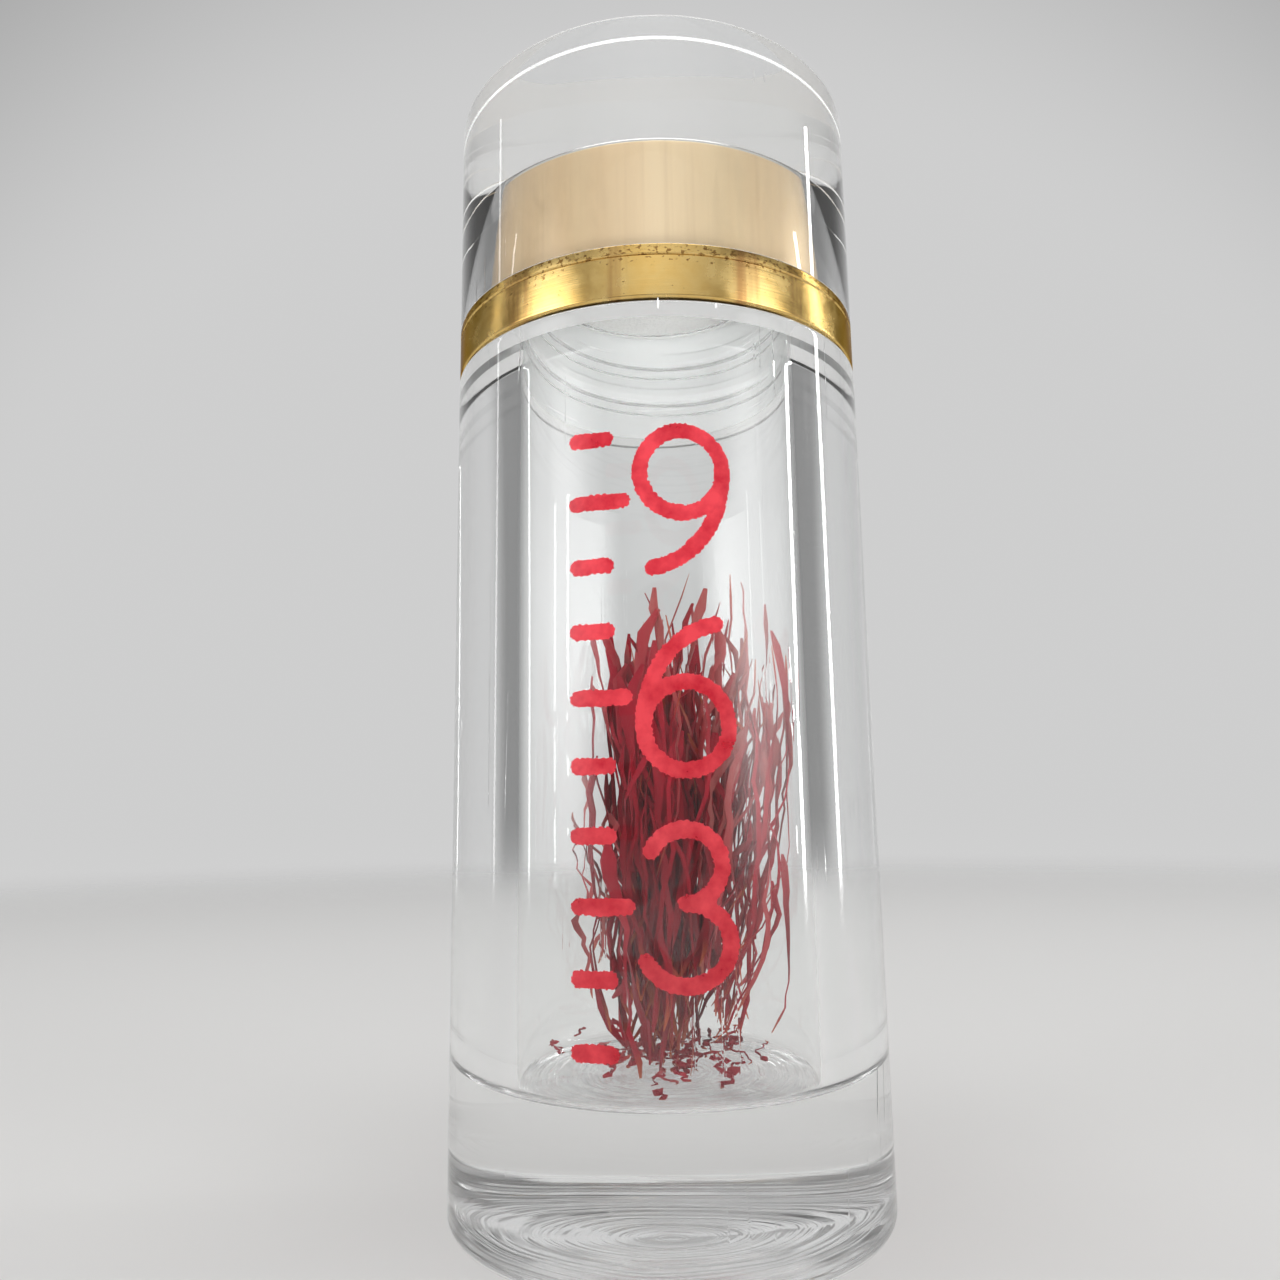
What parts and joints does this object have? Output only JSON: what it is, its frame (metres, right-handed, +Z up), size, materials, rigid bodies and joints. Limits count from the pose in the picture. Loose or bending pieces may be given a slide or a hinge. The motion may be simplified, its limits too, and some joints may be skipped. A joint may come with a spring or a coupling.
{
  "type": "sample vial",
  "caption": "Thick-walled clear acrylic vial with a gold-lined clear screw cap, holding a bundle of dried saffron threads.",
  "frame": {"origin": "centre of the base's underside", "axes": "+Z up the axis towards the cap; the scale on the body faces -Y"},
  "size_m": [0.027, 0.027, 0.0706],
  "materials": {
    "clear_acrylic_body": "polished clear acrylic",
    "clear_acrylic_cap": "polished clear acrylic",
    "saffron": "dry crimson threads",
    "white_foam": "matte closed-cell foam",
    "white_plastic": "satin moulded plastic",
    "matte_gold": "matte champagne anodised",
    "polished_gold": "polished gold"
  },
  "bodies": {
    "vial": {"vial_body": "clear_acrylic_body", "saffron_threads": "saffron"},
    "seal": {"seal_disc": "white_foam"},
    "cap": {"screw_insert": "white_plastic", "liner_cup": "matte_gold", "gold_collar": "polished_gold", "cap_block": "clear_acrylic_cap", "cap_top_plate": "clear_acrylic_cap"}
  },
  "joints": [
    {"name": "cap_lift", "type": "slide", "parent": "vial", "child": "seal", "axis": [0, 0, 1], "range_m": [0, 0.012]},
    {"name": "cap_turn", "type": "hinge", "parent": "seal", "child": "cap", "pos_m": [0, 0, 0.0525], "axis": [0, 0, 1], "range_deg": [0, 1440]}
  ],
  "couplings": [
    {"joint": "cap_lift", "follows": "cap_turn", "m_per_rad": 0.00047746}
  ]
}
